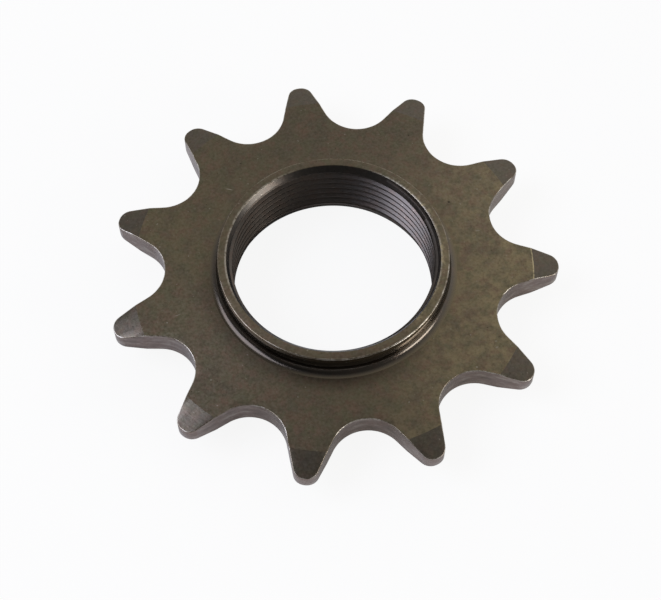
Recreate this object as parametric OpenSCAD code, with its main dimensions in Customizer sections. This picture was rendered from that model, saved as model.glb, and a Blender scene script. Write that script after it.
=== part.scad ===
// Threaded rear sprocket for a 1/2 inch pitch chain.
// Origin: on the bore's axis, halfway through the plate.
// +Z leaves the front face, and a tooth points along +X. Millimetres.

/* [Teeth] */
// Number of teeth
teeth = 11; // [10:1:14]
// Pitch of the chain
chain_pitch = 12.7; // [12.7:0.005:12.71]
// Radius of the seat in which a chain roller lies
seat_r = 4.1; // [3.95:0.05:4.3]
// Angle from the seat's middle to where the straight flank begins
seat_half_angle = 55.7; // [54:0.1:60]
// Radius of the rounding at each corner of a tooth's tip
tip_corner_r = 1.32; // [1:0.01:1.4]
// Height of the tips above the pitch circle
tip_rise = 2.24; // [1.9:0.01:2.3]

/* [Plate] */
// Thickness of the toothed plate
plate_t = 3.1; // [2.8:0.05:3.4]
// Radial width of the chamfer turned on each side of the tips
tip_chamfer_w = 2.9; // [2:0.1:3.2]
// Slope of the tip chamfer from the plate's face, in degrees
tip_chamfer_slope = 13; // [8:0.5:16]

/* [Collars] */
// Thickness of a collar's wall, out from the thread's crests
collar_wall = 1.6; // [1.3:0.05:3]
// Height of the front collar above the plate
front_collar_h = 2.5; // [2:0.05:4]
// Height of the rear collar below the plate
rear_collar_h = 2.75; // [2:0.05:4]
// Radius of the fillet between a collar and the plate
collar_fillet_r = 0.95; // [0.5:0.05:1.2]
// Width of the bevel on a collar's outer rim
rim_bevel = 0.15; // [0.1:0.05:0.3]

/* [Bore] */
// Radius of the bore across the crests of its thread
thread_minor_r = 11; // [10.5:0.05:11.3]
// Radial width and depth along the bore of the front mouth's chamfer
front_chamfer = [0.65, 0.8]; // [0.3:0.05:1.5]
// The same for the rear mouth, a longer lead-in that the hub's thread enters first
rear_chamfer = [0.5, 1.4]; // [0.3:0.05:1.5]

/* [Hidden] */
$fn = 180;
tooth_step = 360 / teeth;
pitch_r = chain_pitch / (2 * sin(tooth_step / 2));
tip_r = pitch_r + tip_rise;
collar_r = thread_minor_r + collar_wall;
tip_drop = tip_chamfer_w * tan(tip_chamfer_slope);
// how far the seat's and the tip corner's circles reach over the flank's line, so that they
// cross it instead of touching it
cross = 0.01;
// how far a cutter runs past what it cuts
past = 3;
// how far a tip corner's cutter reaches into the gap, which is open there already
overlap = 0.5;
// how far the outline's disc stands out beyond the blank
disc_spare = 1;
cutter_h = plate_t + 2 * max(front_collar_h, rear_collar_h) + 2 * past;

// the line of a flank, for a gap that opens along +X: it leaves the seat at flank_foot,
// runs along flank_dir, and the tooth lies on the flank_side side of it
flank_dir = [sin(seat_half_angle), cos(seat_half_angle)];
flank_side = [-cos(seat_half_angle), sin(seat_half_angle)];
flank_foot = [pitch_r, 0] + (seat_r - cross) * flank_side;
// centre of a tip corner's circle: tip_corner_r inside both the flank and the tips' circle
corner_foot = flank_foot + tip_corner_r * flank_side;
corner_run = -corner_foot * flank_dir
    + sqrt(pow(corner_foot * flank_dir, 2) - corner_foot * corner_foot + pow(tip_r - tip_corner_r, 2));
corner_at = corner_foot + corner_run * flank_dir;
corner_out = corner_at / norm(corner_at);
corner_shift = cross * (corner_out - flank_side);

half_plate = plate_t / 2;

// corners of one side of the turned blank's section, from the tips inwards; the collar's rim
// is rim_z away from the plate's mid-plane, and the bore's mouth has the given chamfer
function side_section(rim_z, chamfer) = [
    [tip_r, half_plate - tip_drop],
    [tip_r - tip_chamfer_w, half_plate],
    [collar_r + collar_fillet_r, half_plate],
    [collar_r, half_plate + collar_fillet_r],
    [collar_r, rim_z - rim_bevel],
    [collar_r - rim_bevel, rim_z],
    [thread_minor_r + chamfer[0], rim_z],
    [thread_minor_r, rim_z - chamfer[1]]
];
front_section = side_section(half_plate + front_collar_h, front_chamfer);
rear_section = side_section(half_plate + rear_collar_h, rear_chamfer);

// Part to build

// Section of the turned blank from the bore to the tips: plate and both collars.
module blank_section() {
    last = len(rear_section) - 1;
    difference() {
        polygon(concat(
            front_section,
            [for (i = [last : -1 : 0]) [rear_section[i][0], -rear_section[i][1]]]
        ));
        for (side = [-1, 1])
            translate([collar_r + collar_fillet_r, side * (half_plate + collar_fillet_r)])
                circle(r = collar_fillet_r);
    }
}

// What is cut away outside the rounding of the tip corner beside a gap.
module tip_corner_cut() {
    beside = corner_at - (tip_corner_r + overlap) * flank_side;
    difference() {
        polygon([
            corner_at,
            beside,
            beside + past * flank_dir,
            corner_at + (tip_corner_r + past) * corner_out
        ]);
        translate(corner_at + corner_shift) circle(r = tip_corner_r);
    }
}

// The cut between two teeth that opens along +X: roller seat, flanks and tip corners.
module gap_cut() {
    reach = tip_r + past;
    flank_end = flank_foot + (reach - flank_foot[0]) / flank_dir[0] * flank_dir;
    translate([pitch_r, 0]) circle(r = seat_r);
    polygon([
        [pitch_r, 0],
        flank_foot,
        flank_end,
        [flank_end[0], -flank_end[1]],
        [flank_foot[0], -flank_foot[1]]
    ]);
    tip_corner_cut();
    mirror([0, 1]) tip_corner_cut();
}

module tooth_outline() {
    difference() {
        circle(r = tip_r + disc_spare);
        for (k = [0 : teeth - 1])
            rotate((k + 0.5) * tooth_step) gap_cut();
    }
}

module sprocket() {
    color([0.33, 0.30, 0.26])
        intersection() {
            rotate_extrude() blank_section();
            translate([0, 0, -cutter_h / 2])
                linear_extrude(cutter_h) tooth_outline();
        }
}

sprocket();
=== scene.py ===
"""Threaded rear sprocket: the dressed part and its studio, laid out as a Blender add-on.

The part is one piece of steel, turned to a plate with a collar on each face, cut to
eleven teeth and threaded through its bore. Sizes are the CAD part's, kept in millimetres
in the code and turned to metres when the mesh is made.
"""

import math

import bmesh
import bpy
from bpy.props import FloatProperty, FloatVectorProperty, IntProperty, PointerProperty
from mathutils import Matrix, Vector


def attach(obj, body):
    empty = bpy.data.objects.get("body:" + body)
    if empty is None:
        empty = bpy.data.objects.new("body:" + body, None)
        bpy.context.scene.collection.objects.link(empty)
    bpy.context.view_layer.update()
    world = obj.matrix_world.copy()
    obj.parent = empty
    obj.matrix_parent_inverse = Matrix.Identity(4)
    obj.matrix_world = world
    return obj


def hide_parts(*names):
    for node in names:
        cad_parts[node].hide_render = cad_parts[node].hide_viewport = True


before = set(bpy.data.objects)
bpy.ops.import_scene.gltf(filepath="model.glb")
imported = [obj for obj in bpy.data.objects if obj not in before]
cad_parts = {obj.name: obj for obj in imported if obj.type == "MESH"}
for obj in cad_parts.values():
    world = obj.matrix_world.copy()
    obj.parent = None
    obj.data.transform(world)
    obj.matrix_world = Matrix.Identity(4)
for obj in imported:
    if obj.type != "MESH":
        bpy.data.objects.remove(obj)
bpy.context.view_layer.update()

bl_info = {
    "name": "Threaded rear sprocket",
    "version": (1, 0, 0),
    "blender": (4, 5, 0),
    "location": "View3D > Sidebar > Sprocket",
    "description": "Builds a threaded eleven-tooth rear sprocket, its finishes and a plain studio",
    "category": "Add Mesh",
}

MM = 0.001
PART = "sprocket"
# Order of the finishes in the mesh's material slots.
FACE, CHAMFER, FLANK, THREAD, FILLET, WALL, EDGE, MOUTH = range(8)
# Width of the photograph's frame and focal length of its camera, in its pixels.
FRAME_W = 661
FOCAL_PX = 1594.07
# The thread groove at azimuth 90 degrees lies this far above the plate's front face, in
# millimetres.
GROOVE_RISE = 0.43
# Shares of the pitch, from a groove's middle to the end of its flat root and to the crest.
GROOVE_ROOT = 0.06
GROOVE_CREST = 0.42
# Shares of the pitch at which the bore's mesh has a row: in the middle of the root and of the
# crest, at both ends of each flank, and twice along a flank to keep it flat.
THREAD_ROWS = (0.0, 0.06, 0.20, 0.39, 0.42, 0.5, 0.58, 0.61, 0.80, 0.94)
# Rings on the plate between the collar's foot and the teeth: the radius in millimetres, and
# how far the ring's columns have moved from even spacing to the teeth's own azimuths.
PLATE_RINGS = ((15.0, 0.25), (16.6, 0.5), (18.2, 0.75))


def linear(code):
    """Linear colour, with alpha, of an sRGB hex code such as #6E6558."""
    levels = [int(code[i:i + 2], 16) / 255 for i in (1, 3, 5)]
    return [
        level / 12.92 if level <= 0.04045 else ((level + 0.055) / 1.055) ** 2.4
        for level in levels] + [1.0]


def length(label, millimetres, about):
    """A length that a user can change; Blender keeps it in metres."""
    return FloatProperty(name=label, description=about, default=millimetres * MM, unit="LENGTH")


def colour(label, code, about):
    """A colour that a user can change, from its sRGB hex code."""
    return FloatVectorProperty(
        name=label, description=about, default=linear(code), subtype="COLOR", size=4, min=0, max=1)


class SprocketSizes(bpy.types.PropertyGroup):
    """Sizes of the sprocket, the same as the CAD part's."""

    teeth: IntProperty(name="Teeth", description="Number of teeth", default=11, min=10, max=14)
    chain_pitch: length("Chain pitch", 12.7, "Distance between the chain's rollers")
    seat_r: length("Seat radius", 4.1, "Radius of the seat in which a roller lies")
    seat_half_angle: FloatProperty(
        name="Seat half angle", description="From the seat's middle to where the flank begins",
        default=math.radians(55.7), subtype="ANGLE")
    tip_corner_r: length("Tip corner radius", 1.32, "Rounding at each corner of a tooth's tip")
    tip_rise: length("Tip rise", 2.24, "Height of the tips above the pitch circle")
    plate_t: length("Plate thickness", 3.1, "Thickness of the toothed plate")
    tip_chamfer_w: length("Tip chamfer width", 2.9, "Radial width of the turned tip chamfer")
    tip_chamfer_slope: FloatProperty(
        name="Tip chamfer slope", description="Slope of the tip chamfer from the plate's face",
        default=math.radians(13), subtype="ANGLE")
    collar_r: length("Collar radius", 12.6, "Outer radius of both collars")
    front_collar_h: length("Front collar height", 2.5, "Height of the front collar above the plate")
    rear_collar_h: length("Rear collar height", 2.75, "Height of the rear collar below the plate")
    collar_fillet_r: length("Collar fillet", 0.95, "Fillet between a collar and the plate")
    rim_round: length("Rim rounding", 0.15, "Rounding of a collar's outer rim")
    edge_round: length("Edge rounding", 0.07, "Tumbled rounding along the teeth's edges")
    thread_minor_r: length("Thread crest radius", 11.0, "Radius of the bore across the crests")
    thread_pitch: length("Thread pitch", 1.0, "Distance between neighbouring thread grooves")
    thread_depth: length("Thread depth", 0.48, "Depth of the grooves behind the crests")
    front_chamfer_w: length("Front mouth width", 0.65, "Radial width of the front mouth's chamfer")
    front_chamfer_h: length("Front mouth depth", 0.8, "Depth of the front mouth's chamfer")
    rear_chamfer_w: length("Rear mouth width", 0.5, "Radial width of the rear mouth's lead-in")
    rear_chamfer_h: length("Rear mouth depth", 1.4, "Depth of the rear mouth's lead-in")


class SprocketColours(bpy.types.PropertyGroup):
    """Colours of the sprocket's finishes and of the studio."""

    face: colour("Faces", "#6D6352", "Turned and oxide-finished faces")
    face_warm: colour("Faces, warm stain", "#745E52", "Reddish clouds in the oxide")
    face_green: colour("Faces, green stain", "#62624E", "Greenish clouds in the oxide")
    # Also laid as painted shade on the face, towards +Y and towards the corner between -X and -Y.
    face_dark_and_shade: colour("Faces, dark stain", "#57524A", "Darker patches of the oxide")
    # The next two are painted sheen: the face lighter towards +X and a little lighter towards -X.
    face_sheen_towards_plus_x: colour("Faces, pale side", "#8B7F64", "Thinner, yellower oxide towards +X")
    face_sheen_towards_minus_x: colour("Faces, olive side", "#7A7158", "Paler, greener oxide towards -X")
    chamfer: colour("Tip chamfers", "#615B53", "Turned chamfers on the teeth's tips")
    flank: colour("Tooth flanks", "#7F716B", "Cut walls of the teeth")
    fillet: colour("Fillets", "#5C5751", "Form-turned fillets at the collars' feet")
    wall: colour("Collar walls", "#C0BAB2", "Bright turned walls of the collars")
    thread: colour("Thread", "#66615D", "Thread and the rear mouth of the bore")
    mouth: colour("Mouth chamfer", "#4E4B48", "Chamfer at the front mouth of the bore")
    bare: colour("Worn edges", "#A39C92", "Steel that shows where the oxide is rubbed off")
    # Also the painted highlights along the front rim's edges.
    rubbed_and_highlight: colour("Rubbed edges", "#D2CCC2", "Bright steel along the rubbed edges")
    # Also the painted highlight along one tooth's chamfer crease.
    yellowed_and_highlight: colour("Rubbed oxide", "#BDB08F", "Oxide rubbed thin, on creases and the rim")
    # Also laid as painted shade: beside the collar's foot, on the thread's crests, and towards one side
    # of the thread, fillets, walls and front mouth.
    pit_and_shade: colour("Pits", "#241F1A", "Small pits and dirt in the oxide")
    floor: colour("Floor", "#FCFCFC", "Studio floor")


def sizes_in_mm():
    """The sizes as plain numbers, lengths in millimetres and angles in radians."""
    held = bpy.context.scene.sprocket_sizes
    values = {}
    for name in SprocketSizes.__annotations__:
        value = getattr(held, name)
        is_length = name not in ("teeth", "seat_half_angle", "tip_chamfer_slope")
        values[name] = round(value / MM, 6) if is_length else value
    return values


def radii(sizes):
    """Radii of the pitch circle, of the teeth's tips and of the tip chamfer's inner edge."""
    pitch_r = sizes["chain_pitch"] / (2 * math.sin(math.pi / sizes["teeth"]))
    tip_r = pitch_r + sizes["tip_rise"]
    return pitch_r, tip_r, tip_r - sizes["tip_chamfer_w"]


def half_gap(sizes):
    """Outline from the middle of a gap, on +X, to the middle of the next tooth.

    Each sample is a point and the direction that leaves the metal there. The points lie
    edge_round inside the outline, so the rounded edge can be laid around them.
    """
    step = 2 * math.pi / sizes["teeth"]
    pitch_r, tip_r, crease_r = radii(sizes)
    seat_r = sizes["seat_r"]
    corner_r = sizes["tip_corner_r"]
    inset = sizes["edge_round"]
    half_angle = sizes["seat_half_angle"]
    run_dir = Vector((math.sin(half_angle), math.cos(half_angle)))
    side = Vector((-math.cos(half_angle), math.sin(half_angle)))
    foot = Vector((pitch_r, 0)) + seat_r * side
    corner = foot + corner_r * side
    inner = tip_r - corner_r
    along = corner.dot(run_dir)
    run = -along + math.sqrt(along ** 2 - corner.dot(corner) + inner ** 2)
    corner = corner + run * run_dir
    corner_azimuth = math.atan2(corner.y, corner.x)

    samples = []
    seat_parts = 14
    for i in range(seat_parts):
        angle = half_angle * i / seat_parts
        out = Vector((math.cos(angle), -math.sin(angle)))
        samples.append((Vector((pitch_r, 0)) - seat_r * out - inset * out, out))
    # The flank has a sample exactly where the chamfer's inner edge crosses it.
    start = foot + inset * side
    along = start.dot(run_dir)
    crossing = -along + math.sqrt(along ** 2 - start.dot(start) + crease_r ** 2)
    for distance in sorted([0, run * 0.3, crossing, run * 0.8]):
        samples.append((start + distance * run_dir, -side))
    corner_parts = 7
    for i in range(corner_parts):
        angle = -half_angle + (corner_azimuth + half_angle) * i / corner_parts
        out = Vector((math.cos(angle), math.sin(angle)))
        samples.append((corner + (corner_r - inset) * out, out))
    land_parts = 4
    for i in range(land_parts + 1):
        angle = corner_azimuth + (step / 2 - corner_azimuth) * i / land_parts
        out = Vector((math.cos(angle), math.sin(angle)))
        samples.append(((tip_r - inset) * out, out))
    return samples


def turned(vector, angle):
    """A flat vector turned about the origin."""
    cosine, sine = math.cos(angle), math.sin(angle)
    return Vector((cosine * vector.x - sine * vector.y, sine * vector.x + cosine * vector.y))


def tooth_outline(sizes):
    """Samples all the way round, from the middle of the tooth on +X."""
    forward = half_gap(sizes)
    mirrored = [(Vector((point.x, -point.y)), Vector((out.x, -out.y))) for point, out in forward]
    one_gap = mirrored[:0:-1] + forward[:-1]
    step = 2 * math.pi / sizes["teeth"]
    outline = []
    for tooth in range(sizes["teeth"]):
        middle = (tooth + 0.5) * step
        outline += [(turned(point, middle), turned(out, middle)) for point, out in one_gap]
    return outline


def arc(centre, radius, start, end, parts):
    """Points of a section's arc, angles in degrees."""
    points = []
    for i in range(parts + 1):
        angle = math.radians(start + (end - start) * i / parts)
        points.append((centre[0] + radius * math.cos(angle), centre[1] + radius * math.sin(angle)))
    return points


def mouth_edge(sizes, rim_z, mouth_w, mouth_h):
    """Rounded edge between a collar's rim and its mouth's chamfer, as (radius, height)."""
    reach = sizes["rim_round"] / 3
    slant = math.hypot(mouth_w, mouth_h)
    mouth_r = sizes["thread_minor_r"] + mouth_w
    first = (mouth_r + reach, rim_z)
    sharp = (mouth_r, rim_z)
    last = (mouth_r - reach * mouth_w / slant, rim_z - reach * mouth_h / slant)
    points = []
    edge_parts = 3
    for i in range(edge_parts + 1):
        way = i / edge_parts
        points.append(tuple(
            (1 - way) ** 2 * near + 2 * way * (1 - way) * middle + way ** 2 * far
            for near, middle, far in zip(first, sharp, last)))
    return points


def collar_section(sizes, rim_z, mouth_w, mouth_h):
    """One collar from its fillet's foot on the plate to the bore's mouth.

    Each point is a radius, a height and the finish of the strip that follows it.
    """
    fillet = sizes["collar_fillet_r"]
    fillet_z = sizes["plate_t"] / 2 + fillet
    bevel = sizes["rim_round"]
    wall = sizes["collar_r"]
    fillet_parts = 12
    rim_parts = 4
    fillet_arc = arc((wall + fillet, fillet_z), fillet, 270, 180, fillet_parts)
    rim_arc = arc((wall - bevel, rim_z - bevel), bevel, 0, 90, rim_parts)
    points = [point + (FILLET,) for point in fillet_arc[:-1]]
    points += [(wall, fillet_z, WALL), (wall, (fillet_z + rim_z) / 2, WALL)]
    points += [point + (EDGE,) for point in rim_arc[:-1]]
    points += [(wall - bevel, rim_z, FACE)]
    points += [point + (FACE,) for point in mouth_edge(sizes, rim_z, mouth_w, mouth_h)]
    return points


def rim_heights(sizes):
    """Heights of the front collar's rim and of the rear collar's."""
    half_plate = sizes["plate_t"] / 2
    return half_plate + sizes["front_collar_h"], -half_plate - sizes["rear_collar_h"]


def groove_height(sizes):
    """Height of a groove's middle at azimuth zero; the grooves rise by one pitch a turn."""
    return sizes["plate_t"] / 2 + GROOVE_RISE - sizes["thread_pitch"] / 4


def thread_radius(sizes, height, turn):
    """Radius of the bore's wall at a height, for an angle given as a share of a turn."""
    crest_r = sizes["thread_minor_r"]
    front_z, rear_z = rim_heights(sizes)
    place = (height - groove_height(sizes)) / sizes["thread_pitch"] - turn + 0.5
    away = abs(place - math.floor(place) - 0.5)
    share = min(max((GROOVE_CREST - away) / (GROOVE_CREST - GROOVE_ROOT), 0), 1)
    wall = crest_r + sizes["thread_depth"] * share
    front = crest_r + sizes["front_chamfer_w"] * (1 - (front_z - height) / sizes["front_chamfer_h"])
    rear = crest_r + sizes["rear_chamfer_w"] * (1 - (height - rear_z) / sizes["rear_chamfer_h"])
    return max(wall, front, rear)


def sprocket_mesh(sizes):
    """The whole sprocket as one closed mesh, its faces marked with their finishes."""
    outline = tooth_outline(sizes)
    count = len(outline)
    face_z = sizes["plate_t"] / 2
    front_z, rear_z = rim_heights(sizes)
    crease_r = radii(sizes)[2]
    slope = math.tan(sizes["tip_chamfer_slope"])
    front_mouth = (sizes["front_chamfer_w"], sizes["front_chamfer_h"])
    rear_mouth = (sizes["rear_chamfer_w"], sizes["rear_chamfer_h"])
    azimuths = [math.atan2(point.y, point.x) % (2 * math.pi) for point, out in outline]
    # The outline starts on +X; rounding must not turn its angle of zero into a full turn.
    azimuths[0] = 0.0
    # The collars and the bore have evenly spaced columns, so that their highlights run smoothly.
    even = [2 * math.pi * i / count for i in range(count)]
    shell = bmesh.new()
    rings = []

    def add_ring(points, finish):
        """A ring of corners, kept with its finish."""
        rings.append(([shell.verts.new(point) for point in points], finish))

    def around(radius, height, share=0.0):
        """A ring's points, moved by a share from the even columns to the outline's azimuths."""
        places = [azimuth + share * (own - azimuth) for azimuth, own in zip(even, azimuths)]
        return [(radius * math.cos(azimuth), radius * math.sin(azimuth), height) for azimuth in places]

    def add_side(sign, rim_z, mouth):
        """Rings of one face, from the bore's mouth to the teeth's edge."""
        for radius, height, finish in collar_section(sizes, rim_z, *mouth)[::-1]:
            add_ring(around(radius, sign * height), finish)
        for radius, share in PLATE_RINGS:
            add_ring(around(radius, sign * face_z, share), FACE)
        ring = []
        for (point, out), azimuth in zip(outline, azimuths):
            radius = min(point.length, crease_r)
            ring.append((radius * math.cos(azimuth), radius * math.sin(azimuth), sign * face_z))
        add_ring(ring, FACE)
        # The tip chamfer, then the rounding of the teeth's edge.
        rounding = sizes["edge_round"]
        edge_parts = 3
        for i in range(edge_parts + 1):
            angle = math.radians(90 / edge_parts * i)
            ring = []
            for point, out in outline:
                place = point + out * rounding * math.sin(angle)
                drop = max(point.length - crease_r, 0) * slope + rounding * (1 - math.cos(angle))
                ring.append((place.x, place.y, sign * (face_z - drop)))
            add_ring(ring, CHAMFER if i == 0 else EDGE)

    def add_face(corners, finish):
        """A face of one finish; a corner that is named twice counts once."""
        corners = [corner for i, corner in enumerate(corners) if corner not in corners[:i]]
        if len(corners) > 2:
            shell.faces.new(corners).material_index = finish

    add_side(1, front_z, front_mouth)
    front_rings = rings
    rings = []
    add_side(-1, -rear_z, rear_mouth)
    all_rings = front_rings + rings[::-1]
    front_count = len(front_rings)
    for i in range(len(all_rings) - 1):
        near, far = all_rings[i][0], all_rings[i + 1][0]
        # A strip has the finish of its outer ring; the strip between the two sides is flank.
        if i + 1 == front_count:
            finish = FLANK
        else:
            finish = all_rings[i + 1][1] if i + 1 < front_count else all_rings[i][1]
        for here in range(count):
            beside = (here + 1) % count
            add_face([near[here], far[here], far[beside], near[beside]], finish)

    # The bore's rows follow the helix, so every thread edge is a row of its own. Rows that
    # would leave the bore are held at its mouths.
    top = mouth_edge(sizes, front_z, *front_mouth)[-1][1]
    bottom = -mouth_edge(sizes, -rear_z, *rear_mouth)[-1][1]
    pitch = sizes["thread_pitch"]
    groove_z = groove_height(sizes)
    lowest = groove_z + math.floor((rear_z - groove_z) / pitch - 1) * pitch
    rows_per_turn = len(THREAD_ROWS)
    last_row = math.ceil((front_z - lowest) / pitch + 1) * rows_per_turn
    columns = []
    for here in range(count):
        turn = here / count
        column = []
        for row in range(last_row + 1):
            height = lowest + pitch * (row // rows_per_turn + THREAD_ROWS[row % rows_per_turn] + turn)
            height = min(max(height, bottom), top)
            radius = thread_radius(sizes, height, turn)
            column.append((radius * math.cos(even[here]), radius * math.sin(even[here]), height))
        columns.append(column)
    bore = [[shell.verts.new(point) for point in column] for column in columns]
    crest_r = sizes["thread_minor_r"]
    mouth_slope = front_mouth[0] / front_mouth[1]
    close = 0.01

    def on_mouth(place):
        """True on the front mouth's chamfer, which was turned after the thread was cut."""
        chamfer_r = crest_r + front_mouth[0] - (front_z - place.z) * mouth_slope
        radius = math.hypot(place.x, place.y)
        return radius - chamfer_r < close and radius > crest_r + close

    # The last column joins the first one turn of the helix further on.
    for here in range(count):
        shift = rows_per_turn if here == count - 1 else 0
        near, far = bore[here], bore[(here + 1) % count]
        for row in range(last_row - shift):
            corners = [near[row], near[row + 1], far[row + 1 + shift], far[row + shift]]
            mouth = all(on_mouth(corner.co) for corner in corners)
            add_face(corners, MOUTH if mouth else THREAD)

    # Corners that fall together, such as rows held at a mouth, become one.
    weld = 0.0005
    sliver = 0.0002
    bmesh.ops.remove_doubles(shell, verts=shell.verts, dist=weld)
    bmesh.ops.dissolve_degenerate(shell, edges=shell.edges, dist=sliver)
    bmesh.ops.recalc_face_normals(shell, faces=shell.faces)
    for face in shell.faces:
        face.smooth = True
    # The crease where the face meets the tip chamfer stays sharp.
    hair = 0.001
    for edge in shell.edges:
        ends = [end.co for end in edge.verts]
        on_crease = all(abs(math.hypot(end.x, end.y) - crease_r) < hair for end in ends)
        if on_crease and all(abs(abs(end.z) - face_z) < hair for end in ends):
            edge.smooth = False
    bmesh.ops.scale(shell, vec=(MM, MM, MM), verts=shell.verts)
    mesh = bpy.data.meshes.new(PART + "_steel")
    shell.to_mesh(mesh)
    shell.free()
    return mesh


def add_node(tree, kind, settings=None, inputs=None):
    """Adds a node with its settings; an input is a value or the socket that feeds it."""
    node = tree.nodes.new(kind)
    for name, value in (settings or {}).items():
        setattr(node, name, value)
    for name, value in (inputs or {}).items():
        if isinstance(value, bpy.types.NodeSocket):
            tree.links.new(value, node.inputs[name])
        else:
            node.inputs[name].default_value = value
    return node


# Small marks on the front face: place in millimetres, half width and half length, the
# direction they run in, in degrees, and how bright the bared steel is in them.
RUBBED_MARKS = (
    (-11.5, 10.3, 0.07, 0.50, 166, 0.8),
    (-16.9, -5.6, 0.06, 0.45, 20, 0.5),
    (-18.0, -6.5, 0.10, 0.12, 0, 0.6),
    (16.1, 4.3, 0.10, 0.35, 5, 0.4),
    (14.9, -12.5, 0.11, 0.13, 0, 0.8),
    (17.2, -10.2, 0.12, 0.22, 30, 0.5),
    (-13.2, -13.4, 0.10, 0.14, 0, 0.5),
    (-12.5, -16.4, 0.10, 0.13, 0, 0.6),
)
# Place of the dark pit on the front face, in millimetres.
PIT_AT = (13.1, 8.1)


def laid_over(tree, shade, stain, most, *limits):
    """Lays a stain over a shade; the stain may also be painted shade, sheen or a painted highlight. Its
    share is the most where every limit is reached.

    Shade and stain may each be a colour or a socket. A limit is a value, its level where the
    stain is absent and its level where the stain is full. A fourth number is the share of the
    stain that is left where it would be absent. Levels of a radius, a height or a reach are
    in millimetres.
    """
    share = most
    for value, absent, full, *least in limits:
        reach = add_node(tree, "ShaderNodeMapRange", {}, {
            "Value": value, "From Min": absent, "From Max": full, "To Min": least[0] if least else 0.0})
        share = add_node(tree, "ShaderNodeMath", {"operation": "MULTIPLY"}, {
            0: share, 1: reach.outputs["Result"]}).outputs[0]
    mix = add_node(tree, "ShaderNodeMix", {"data_type": "RGBA"}, {"Factor": share, 6: shade, 7: stain})
    return mix.outputs[2]


def steel(name, base, stains, roughness, grain_mm, grain_depth, shading, anisotropy=0.0, wear=(),
          grazing=1.0, ground=None):
    """A steel finish: its colour clouded by stains, with turning or cutting grain.

    Positions are in millimetres on the part. stains are (colour, clouds per mm, amount).
    Rings of grain, grain_mm apart, follow the distance to the bore's axis. shading is how
    much the crystal grain varies the colour and the gloss. wear is a list of functions that
    lay further marks over the colour, among them painted shade and painted highlights,
    grazing dims what is mirrored at a low angle, and ground is a function that varies the
    base colour under the stains; the one that is used paints sheen and shade on the face's sides.
    """
    colours = bpy.context.scene.sprocket_colours
    material = bpy.data.materials.new(name)
    material.use_nodes = True
    tree = material.node_tree
    tree.nodes.clear()
    place = add_node(tree, "ShaderNodeTexCoord").outputs["Object"]
    at = add_node(tree, "ShaderNodeVectorMath", {"operation": "SCALE"}, {
        0: place, "Scale": 1 / MM}).outputs[0]
    parts = add_node(tree, "ShaderNodeSeparateXYZ", {}, {"Vector": at})
    flat = add_node(tree, "ShaderNodeCombineXYZ", {}, {
        "X": parts.outputs["X"], "Y": parts.outputs["Y"]})
    radius = add_node(tree, "ShaderNodeVectorMath", {"operation": "LENGTH"}, {
        0: flat.outputs[0]}).outputs["Value"]

    # Stains in the oxide: each kind has its own clouds, so they lie apart.
    shade = ground(tree, base, at) if ground else base
    for i, (stain, per_mm, amount) in enumerate(stains):
        shifted = add_node(tree, "ShaderNodeVectorMath", {"operation": "ADD"}, {
            0: at, 1: (7.3 * i, 3.1 * i, 0)})
        cloud = add_node(tree, "ShaderNodeTexNoise", {}, {
            "Vector": shifted.outputs[0], "Scale": per_mm, "Detail": 5.0, "Roughness": 0.72})
        shade = laid_over(tree, shade, stain, amount, (cloud.outputs["Fac"], 0.46, 0.62))

    # Grain: rings about the bore's axis and a crystal grain. Both are finer on the real part;
    # the rings are drawn 0.2 to 0.3 mm apart and the crystals 0.3 mm wide, which is as coarse
    # as the render needs to show them.
    ring_at = add_node(tree, "ShaderNodeCombineXYZ", {}, {"X": radius, "Y": parts.outputs["Z"]})
    rings = add_node(tree, "ShaderNodeTexNoise", {"noise_dimensions": "2D"}, {
        "Vector": ring_at.outputs[0], "Scale": 1 / grain_mm, "Detail": 2.0})
    fine = add_node(tree, "ShaderNodeTexNoise", {}, {
        "Vector": at, "Scale": 3.4, "Detail": 3.0, "Roughness": 0.65}).outputs["Fac"]
    grain = add_node(tree, "ShaderNodeMath", {"operation": "MULTIPLY_ADD"}, {
        0: fine, 1: 0.6, 2: rings.outputs["Fac"]})
    bump = add_node(tree, "ShaderNodeBump", {}, {
        "Strength": 1.0, "Distance": grain_depth * MM, "Height": grain.outputs[0]})
    # Dark and light of the grain itself.
    shade = laid_over(tree, shade, colours.pit_and_shade, shading * 2.5, (fine, 0.5, 0.3))
    shade = laid_over(tree, shade, colours.bare, shading, (fine, 0.5, 0.7))

    # Tiny rubbed specks and pits, 0.1 to 0.2 mm across.
    dots = add_node(tree, "ShaderNodeTexNoise", {}, {
        "Vector": at, "Scale": 2.6, "Detail": 1.0}).outputs["Fac"]
    shade = laid_over(tree, shade, colours.bare, 0.5, (dots, 0.73, 0.80))
    shade = laid_over(tree, shade, colours.pit_and_shade, 0.6, (dots, 0.24, 0.19))
    for kind in wear:
        shade = kind(tree, shade, at, parts, radius, fine)

    # The gloss varies with the crystal grain.
    gloss = add_node(tree, "ShaderNodeMapRange", {}, {
        "Value": fine, "From Min": 0.3, "From Max": 0.7,
        "To Min": roughness * (1 - 1.2 * shading), "To Max": roughness * (1 + 1.5 * shading)})
    inputs = {
        "Base Color": shade, "Metallic": 1.0, "Normal": bump.outputs["Normal"],
        "Roughness": gloss.outputs["Result"], "Anisotropic": anisotropy,
        "Specular Tint": (grazing, grazing, grazing, 1.0)}
    if anisotropy:
        # The grooves run round the axis, so a highlight is drawn out across them.
        inputs["Anisotropic Rotation"] = 0.25
        inputs["Tangent"] = add_node(
            tree, "ShaderNodeTangent", {"direction_type": "RADIAL", "axis": "Z"}).outputs["Tangent"]
    shader = add_node(tree, "ShaderNodeBsdfPrincipled", {}, inputs)
    add_node(tree, "ShaderNodeOutputMaterial", {}, {"Surface": shader.outputs["BSDF"]})
    return material


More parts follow.
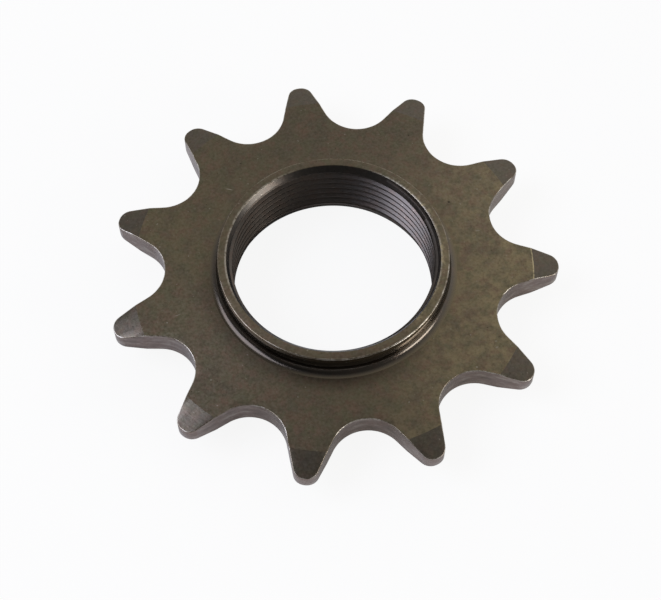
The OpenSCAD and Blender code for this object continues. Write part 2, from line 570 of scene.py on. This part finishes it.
def painted_side_sheen_and_shade(tree, base, at):
    """Painted sheen and shade on the face: lighter and yellower towards +X and a little
    paler towards -X, with painted shade towards +Y and towards the corner between -X and -Y."""
    colours = bpy.context.scene.sprocket_colours
    cloud = add_node(tree, "ShaderNodeTexNoise", {}, {"Vector": at, "Scale": 0.25, "Detail": 3.0})
    # Clouds move each side's border in and out by a few millimetres.
    sway = 8.0
    shade = base
    # Each way lays painted sheen or painted shade: its direction, the reach where it starts and where it
    # is full, its colour and its most share.
    for way, absent, full, stain, most in (
            ((0.99, -0.10, 0), 9.0, 22.0, colours.face_sheen_towards_plus_x, 1.0),
            ((-0.93, 0.37, 0), 14.0, 24.0, colours.face_sheen_towards_minus_x, 0.6),
            ((-0.66, -0.75, 0), 14.0, 26.0, colours.face_dark_and_shade, 0.5),
            ((-0.20, 0.98, 0), 10.0, 22.0, colours.face_dark_and_shade, 0.35)):
        reach = add_node(tree, "ShaderNodeVectorMath", {"operation": "DOT_PRODUCT"}, {0: at, 1: way})
        across = add_node(tree, "ShaderNodeMath", {"operation": "MULTIPLY_ADD"}, {
            0: cloud.outputs["Fac"], 1: sway, 2: reach.outputs["Value"]})
        shade = laid_over(tree, shade, stain, most, (across.outputs[0], absent, full))
    return shade


def painted_shade_at_foot(tree, shade, at, parts, radius, grain):
    """Painted shade beside the collar's foot, towards -X and -Y, but not on its rim."""
    reach = add_node(tree, "ShaderNodeVectorMath", {"operation": "DOT_PRODUCT"}, {
        0: at, 1: (-0.5, -0.87, 0)})
    return laid_over(
        tree, shade, bpy.context.scene.sprocket_colours.pit_and_shade, 0.48,
        (reach.outputs["Value"], 3.0, 12.0), (radius, 15.3, 13.5), (parts.outputs["Z"], 3.0, 2.0))


def oxide_and_painted_sheen_at_foot(tree, shade, at, parts, radius, grain):
    """The fillet takes on the face's oxide towards its foot, together with the face's painted sheen and
    shade.
    """
    colours = bpy.context.scene.sprocket_colours
    oxide = laid_over(tree, painted_side_sheen_and_shade(tree, colours.face, at), colours.face_dark_and_shade, 0.35)
    return laid_over(tree, shade, oxide, 0.9, (radius, 13.05, 13.50))


def rubbed_marks(tree, shade, at, parts, radius, grain):
    """Scratches and knocks on the front face, where the oxide is gone."""
    face_z = sizes_in_mm()["plate_t"] / 2
    for x, y, half_w, half_l, angle, strength in RUBBED_MARKS:
        local = add_node(tree, "ShaderNodeMapping", {"vector_type": "TEXTURE"}, {
            "Vector": at, "Location": (x, y, face_z), "Rotation": (0, 0, math.radians(angle)),
            "Scale": (half_l, half_w, 0.3)})
        away = add_node(tree, "ShaderNodeVectorMath", {"operation": "LENGTH"}, {0: local.outputs[0]})
        shade = laid_over(
            tree, shade, bpy.context.scene.sprocket_colours.bare, strength,
            (away.outputs["Value"], 1.0, 0.4))
    return shade


def dark_pit(tree, shade, at, parts, radius, grain):
    """A dark pit, 0.3 mm wide, beside the front collar."""
    away = add_node(tree, "ShaderNodeVectorMath", {"operation": "DISTANCE"}, {
        0: at, 1: PIT_AT + (sizes_in_mm()["plate_t"] / 2,)})
    return laid_over(
        tree, shade, bpy.context.scene.sprocket_colours.pit_and_shade, 0.7, (away.outputs["Value"], 0.20, 0.08))


def painted_crease_highlight(tree, shade, at, parts, radius, grain):
    """A painted highlight along the chamfer's inner edge, on the tooth that points along +X."""
    crease_r = round(radii(sizes_in_mm())[2], 2)
    off = add_node(tree, "ShaderNodeMath", {"operation": "SUBTRACT"}, {0: radius, 1: crease_r})
    off = add_node(tree, "ShaderNodeMath", {"operation": "ABSOLUTE"}, {0: off.outputs[0]})
    return laid_over(
        tree, shade, bpy.context.scene.sprocket_colours.yellowed_and_highlight, 1.0,
        (off.outputs[0], 0.09, 0.03), (parts.outputs["X"], 21.0, 21.6), (grain, 0.40, 0.56, 0.25))


def rim_highlight_and_specks(tree, shade, at, parts, radius, grain):
    """A painted highlight as a thin bright line on the front rim's inner edge, at its two sides,
    and bright specks beside it towards +X."""
    colours = bpy.context.scene.sprocket_colours
    x, y = parts.outputs["X"], parts.outputs["Y"]
    aside = add_node(tree, "ShaderNodeMath", {"operation": "ABSOLUTE"}, {0: x}).outputs[0]
    spots = add_node(tree, "ShaderNodeTexNoise", {}, {
        "Vector": at, "Scale": 1.4, "Detail": 4.0, "Roughness": 0.75}).outputs["Fac"]
    on_rim = (parts.outputs["Z"], 3.0, 3.5)
    # The painted highlight: a thin line on the rim's inner edge, at its two sides and away from the near
    # side.
    shade = laid_over(
        tree, shade, colours.rubbed_and_highlight, 0.4, on_rim, (radius, 11.85, 11.74),
        (aside, 3.5, 7.0), (y, -6.0, -3.0), (grain, 0.34, 0.52))
    return laid_over(
        tree, shade, colours.yellowed_and_highlight, 0.7, on_rim, (radius, 12.3, 11.7),
        (x, 6.0, 10.5), (spots, 0.50, 0.62))


def hob_marks(tree, shade, at, parts, radius, grain):
    """Darker and barer streaks that run along the tooth outline, left by the hob. They are
    0.6 mm wide, as coarse as the render needs to show them, and four times as long."""
    colours = bpy.context.scene.sprocket_colours
    along = add_node(tree, "ShaderNodeVectorMath", {"operation": "MULTIPLY"}, {
        0: at, 1: (0.4, 0.4, 1.6)})
    streak = add_node(tree, "ShaderNodeTexNoise", {}, {
        "Vector": along.outputs[0], "Scale": 1.0, "Detail": 4.0, "Roughness": 0.7}).outputs["Fac"]
    shade = laid_over(tree, shade, colours.face_dark_and_shade, 0.5, (streak, 0.48, 0.36))
    return laid_over(tree, shade, colours.bare, 0.6, (streak, 0.52, 0.64))


def painted_shade_on_crests(tree, shade, at, parts, radius, grain):
    """Painted shade on the thread's crests."""
    return laid_over(
        tree, shade, bpy.context.scene.sprocket_colours.pit_and_shade, 0.4, (radius, 11.05, 11.01))


def painted_shade_towards(most, *spans):
    """Makes a layer of painted shade that darkens the steel towards one side; a span is an axis, from
    and to.
    """
    def layer(tree, shade, at, parts, radius, grain):
        limits = [(parts.outputs[axis], start, end) for axis, start, end in spans]
        return laid_over(tree, shade, bpy.context.scene.sprocket_colours.pit_and_shade, most, *limits)
    return layer


def worn_edges_and_rim_highlight(tree, shade, at, parts, radius, grain):
    """Edges rubbed in places down to bright steel. On the rim the bright steel is a painted highlight,
    kept mostly between +X and -Y.
    """
    patch = add_node(tree, "ShaderNodeTexNoise", {}, {"Vector": at, "Scale": 0.55, "Detail": 3.0})
    worn = laid_over(
        tree, shade, bpy.context.scene.sprocket_colours.rubbed_and_highlight, 1.0,
        (patch.outputs["Fac"], 0.42, 0.58, 0.15), (grain, 0.36, 0.54, 0.4))
    reach = add_node(tree, "ShaderNodeVectorMath", {"operation": "DOT_PRODUCT"}, {
        0: at, 1: (0.64, -0.77, 0)})
    # The rest of the rim keeps most of its own colour, so there the edge shows no painted highlight.
    return laid_over(tree, worn, shade, 0.78, (reach.outputs["Value"], 10.5, 7.5), (radius, 14.0, 13.0))


class SPROCKET_OT_body(bpy.types.Operator):
    """Build the sprocket in its steel finishes and let it stand for the CAD solid"""

    bl_idname = "sprocket.body"
    bl_label = "Build the sprocket"

    def execute(self, context):
        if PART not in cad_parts:
            raise RuntimeError("the frame has no node named " + PART)
        colours = context.scene.sprocket_colours
        mesh = sprocket_mesh(sizes_in_mm())
        body = bpy.data.objects.new(PART + "_steel", mesh)
        context.scene.collection.objects.link(body)

        warm, green = colours.face_warm, colours.face_green
        finishes = {
            # Steel turned on a lathe, then given a thin brown-black oxide: a satin face with
            # faint rings, stained red and green where the oxide took unevenly.
            FACE: steel(
                "steel_turned_and_oxide_finished", colours.face,
                [(warm, 0.8, 0.6), (green, 0.7, 0.55), (colours.face_dark_and_shade, 0.45, 0.35)],
                roughness=0.36, grain_mm=0.25, grain_depth=0.006, shading=0.10, anisotropy=0.5,
                # Over the oxide lie painted shade beside the collar's foot and painted highlights on one
                # tooth's chamfer crease and on the rim's inner edge.
                wear=(painted_shade_at_foot, rubbed_marks, dark_pit, painted_crease_highlight, rim_highlight_and_specks),
                # Its ground is painted sheen and shade on the face's sides.
                ground=painted_side_sheen_and_shade),
            # The same steel, turned later: greyer, with a fine even grain.
            CHAMFER: steel(
                "steel_turned_tip_chamfer", colours.chamfer, [(warm, 0.9, 0.3), (green, 0.9, 0.3)],
                roughness=0.32, grain_mm=0.2, grain_depth=0.006, shading=0.08, anisotropy=0.4,
                # A painted highlight along the crease of the tooth that points along +X.
                wear=(painted_crease_highlight,)),
            # Walls cut by the hob: smoother and cooler than the oxide on the faces, with faint
            # streaks along its cuts.
            FLANK: steel(
                "steel_hobbed_tooth_flank", colours.flank, [(warm, 0.7, 0.45)],
                roughness=0.30, grain_mm=0.3, grain_depth=0.004, shading=0.06, wear=(hob_marks,)),
            # The cut thread: dark and neutral, dull at a low angle, with painted shade on its crests and
            # on its side towards -X and +Y.
            THREAD: steel(
                "steel_cut_thread", colours.thread, [(warm, 0.7, 0.3)],
                roughness=0.34, grain_mm=0.3, grain_depth=0.002, shading=0.05,
                wear=(painted_shade_on_crests, painted_shade_towards(0.6, ("X", -1.0, -6.0), ("Y", -3.0, 6.0))), grazing=0.3),
            # The fillets came off a round-nosed tool: glossy, with long crisp highlights, and
            # oxide, with the face's painted sheen, that reaches up from the face. Painted shade darkens
            # them towards -X and -Y.
            FILLET: steel(
                "steel_form_turned_fillet", colours.fillet, [(warm, 0.6, 0.25)],
                roughness=0.20, grain_mm=0.3, grain_depth=0.0005, shading=0.03,
                wear=(oxide_and_painted_sheen_at_foot, painted_shade_towards(0.5, ("X", -2.0, -7.0), ("Y", 0.0, -5.0)))),
            # The collars' walls are the brightest turning, and mirror the fillets beside them; painted
            # shade darkens them towards -X and -Y.
            WALL: steel(
                "steel_bright_turned_collar", colours.wall, [(warm, 0.6, 0.15)],
                roughness=0.13, grain_mm=0.3, grain_depth=0.0005, shading=0.03,
                wear=(painted_shade_towards(0.5, ("X", -4.0, -8.0), ("Y", -5.0, -8.0)),)),
            # Edges, tumbled round and rubbed through the oxide, with a painted highlight on the rim's
            # edge.
            EDGE: steel(
                "steel_edge_rubbed_bare", colours.face, [(warm, 0.8, 0.3)],
                roughness=0.28, grain_mm=0.3, grain_depth=0.002, shading=0.06,
                wear=(worn_edges_and_rim_highlight,), grazing=0.5),
            # The front mouth's chamfer: turned last, so it is grey and free of oxide. Painted shade
            # darkens it towards +X.
            MOUTH: steel(
                "steel_turned_mouth_chamfer", colours.mouth, [(warm, 0.6, 0.15)],
                roughness=0.30, grain_mm=0.3, grain_depth=0.001, shading=0.05,
                wear=(painted_shade_towards(0.5, ("X", 7.0, 10.0)),)),
        }
        for place in sorted(finishes):
            mesh.materials.append(finishes[place])
        # Shading follows the larger faces, so that flat ones look flat up to their edges.
        normals = body.modifiers.new("Even faces", "WEIGHTED_NORMAL")
        normals.keep_sharp = True
        normals.weight = 60

        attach(body, "root")
        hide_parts(PART)
        return {"FINISHED"}


def lamp(name, direction, distance, width, height, radiance, tint):
    """A softbox at a direction from the part, facing it; radiance 1 looks white in a mirror."""
    data = bpy.data.lights.new(name, "AREA")
    data.shape = "RECTANGLE"
    data.size = width
    data.size_y = height
    data.color = linear(tint)[:3]
    # An area lamp of one watt over one square metre looks 1 / pi bright.
    data.energy = radiance * width * height * math.pi
    holder = bpy.data.objects.new(name, data)
    way = Vector(direction).normalized()
    holder.location = way * distance
    holder.rotation_euler = way.to_track_quat("Z", "Y").to_euler()
    bpy.context.scene.collection.objects.link(holder)
    return holder


class SPROCKET_OT_studio(bpy.types.Operator):
    """Set the floor, the lamps, the world and the camera at the photograph's angle"""

    bl_idname = "sprocket.studio"
    bl_label = "Set the studio"

    def execute(self, context):
        scene = context.scene
        rear_z = rim_heights(sizes_in_mm())[1] * MM

        mesh = bpy.data.meshes.new("studio_floor")
        # The paper lies a hair below the rear rim, so the two never share a plane. It
        # reaches three metres each way, past the edges of any view.
        paper_z = rear_z - 0.02 * MM
        half = 3.0
        corners = [(x * half, y * half, paper_z) for x, y in ((-1, -1), (1, -1), (1, 1), (-1, 1))]
        mesh.from_pydata(corners, [], [(0, 1, 2, 3)])
        floor = bpy.data.objects.new("studio_floor", mesh)
        scene.collection.objects.link(floor)
        mesh.materials.append(self.floor_paper(scene.sprocket_colours.floor))

        # Direction from the part, distance, width and height in metres, radiance and tint.
        lamp("softbox_left", (-0.68, -0.08, 0.73), 0.5, 0.34, 0.30, 4.7, "#E4E9FF")
        lamp("softbox_right_front", (0.87, -0.40, 0.30), 0.5, 0.24, 0.14, 8.0, "#FFF9F2")
        self.world(scene)

        data = bpy.data.cameras.new("photograph")
        data.sensor_fit = "HORIZONTAL"
        data.sensor_width = 36.0
        data.lens = FOCAL_PX * data.sensor_width / FRAME_W
        data.clip_start = 0.01
        camera = bpy.data.objects.new("photograph", data)
        # Both places were fitted to the roller seats and the teeth's tips in the photograph.
        camera.location = Vector((-2.181, -86.234, 153.176)) * MM
        aim = Vector((-0.408, -4.096, 1.55)) * MM
        camera.rotation_euler = (aim - camera.location).to_track_quat("-Z", "Y").to_euler()
        scene.collection.objects.link(camera)
        scene.camera = camera
        scene.view_settings.view_transform = "Standard"
        return {"FINISHED"}

    def floor_paper(self, tint):
        """Matt white paper. The camera sees it mostly as plain white, and the steel does so
        in part; the rest is lit paper, which keeps the part's shadow."""
        material = bpy.data.materials.new("paper_matt_white")
        material.use_nodes = True
        tree = material.node_tree
        tree.nodes.clear()
        # Shares of plain white that the camera sees and that the steel mirrors.
        seen_white = 0.9
        mirrored_white = 0.17
        path = add_node(tree, "ShaderNodeLightPath")
        mirrored = add_node(tree, "ShaderNodeMath", {"operation": "MAXIMUM"}, {
            0: path.outputs["Is Glossy Ray"], 1: path.outputs["Is Transmission Ray"]})
        mirrored = add_node(tree, "ShaderNodeMath", {"operation": "MULTIPLY"}, {
            0: mirrored.outputs[0], 1: mirrored_white})
        share = add_node(tree, "ShaderNodeMath", {"operation": "MULTIPLY_ADD"}, {
            0: path.outputs["Is Camera Ray"], 1: seen_white, 2: mirrored.outputs[0]})
        paper = add_node(tree, "ShaderNodeBsdfDiffuse", {}, {"Color": tint})
        white = add_node(tree, "ShaderNodeEmission", {}, {"Color": linear("#FFFFFF"), "Strength": 1.0})
        both = add_node(tree, "ShaderNodeMixShader", {}, {
            0: share.outputs[0], 1: paper.outputs[0], 2: white.outputs[0]})
        add_node(tree, "ShaderNodeOutputMaterial", {}, {"Surface": both.outputs[0]})
        return material

    def world(self, scene):
        """A room that is darker on the camera's side and lighter behind the part."""
        world = bpy.data.worlds.new("studio_room")
        world.use_nodes = True
        tree = world.node_tree
        tree.nodes.clear()
        way = add_node(tree, "ShaderNodeTexCoord").outputs["Generated"]
        parts = add_node(tree, "ShaderNodeSeparateXYZ", {}, {"Vector": way})
        levels = []
        for axis, start, end, start_level, end_level in (
                # The room itself, from the camera's side to behind the part.
                ("Y", -0.5, 0.7, 0.08, 0.70),
                # How much lighter it grows towards +X.
                ("Y", -0.5, 0.1, 0.12, 0.32),
                # A lighter band low on the walls: its upper border, then its level.
                ("Z", 0.65, 0.3, 0.0, 1.0),
                ("Y", -0.8, 0.1, 0.13, 0.32)):
            level = add_node(tree, "ShaderNodeMapRange", {}, {
                "Value": parts.outputs[axis], "From Min": start, "From Max": end,
                "To Min": start_level, "To Max": end_level})
            levels.append(level.outputs["Result"])
        depth, sideways, border, band = levels
        level = add_node(tree, "ShaderNodeMath", {"operation": "MULTIPLY_ADD"}, {
            0: parts.outputs["X"], 1: sideways, 2: depth})
        low = add_node(tree, "ShaderNodeMath", {"operation": "MULTIPLY"}, {0: border, 1: band})
        level = add_node(tree, "ShaderNodeMath", {"operation": "MAXIMUM"}, {
            0: level.outputs[0], 1: low.outputs[0]})
        room = add_node(tree, "ShaderNodeBackground", {}, {
            "Color": linear("#FFFCF8"), "Strength": level.outputs[0]})
        white = add_node(tree, "ShaderNodeBackground", {}, {"Color": linear("#FFFFFF"), "Strength": 1.0})
        path = add_node(tree, "ShaderNodeLightPath")
        both = add_node(tree, "ShaderNodeMixShader", {}, {
            0: path.outputs["Is Camera Ray"], 1: room.outputs[0], 2: white.outputs[0]})
        add_node(tree, "ShaderNodeOutputWorld", {}, {"Surface": both.outputs[0]})
        scene.world = world


class SPROCKET_PT_panel(bpy.types.Panel):
    """Steps that build the sprocket, with its sizes and colours"""

    bl_idname = "SPROCKET_PT_panel"
    bl_label = "Threaded rear sprocket"
    bl_space_type = "VIEW_3D"
    bl_region_type = "UI"
    bl_category = "Sprocket"

    def draw(self, context):
        layout = self.layout
        for operator in OPERATORS:
            layout.operator(operator.bl_idname)
        for title, group in (
                ("Sizes", context.scene.sprocket_sizes), ("Colours", context.scene.sprocket_colours)):
            box = layout.box()
            box.label(text=title)
            for name in type(group).__annotations__:
                box.prop(group, name)


OPERATORS = (SPROCKET_OT_body, SPROCKET_OT_studio)
CLASSES = (SprocketSizes, SprocketColours) + OPERATORS + (SPROCKET_PT_panel,)


def register():
    for kind in CLASSES:
        bpy.utils.register_class(kind)
    bpy.types.Scene.sprocket_sizes = PointerProperty(type=SprocketSizes)
    bpy.types.Scene.sprocket_colours = PointerProperty(type=SprocketColours)


def unregister():
    del bpy.types.Scene.sprocket_colours
    del bpy.types.Scene.sprocket_sizes
    for kind in reversed(CLASSES):
        bpy.utils.unregister_class(kind)


def main():
    register()
    bpy.ops.sprocket.body()
    bpy.ops.sprocket.studio()


if __name__ == "__main__":
    main()
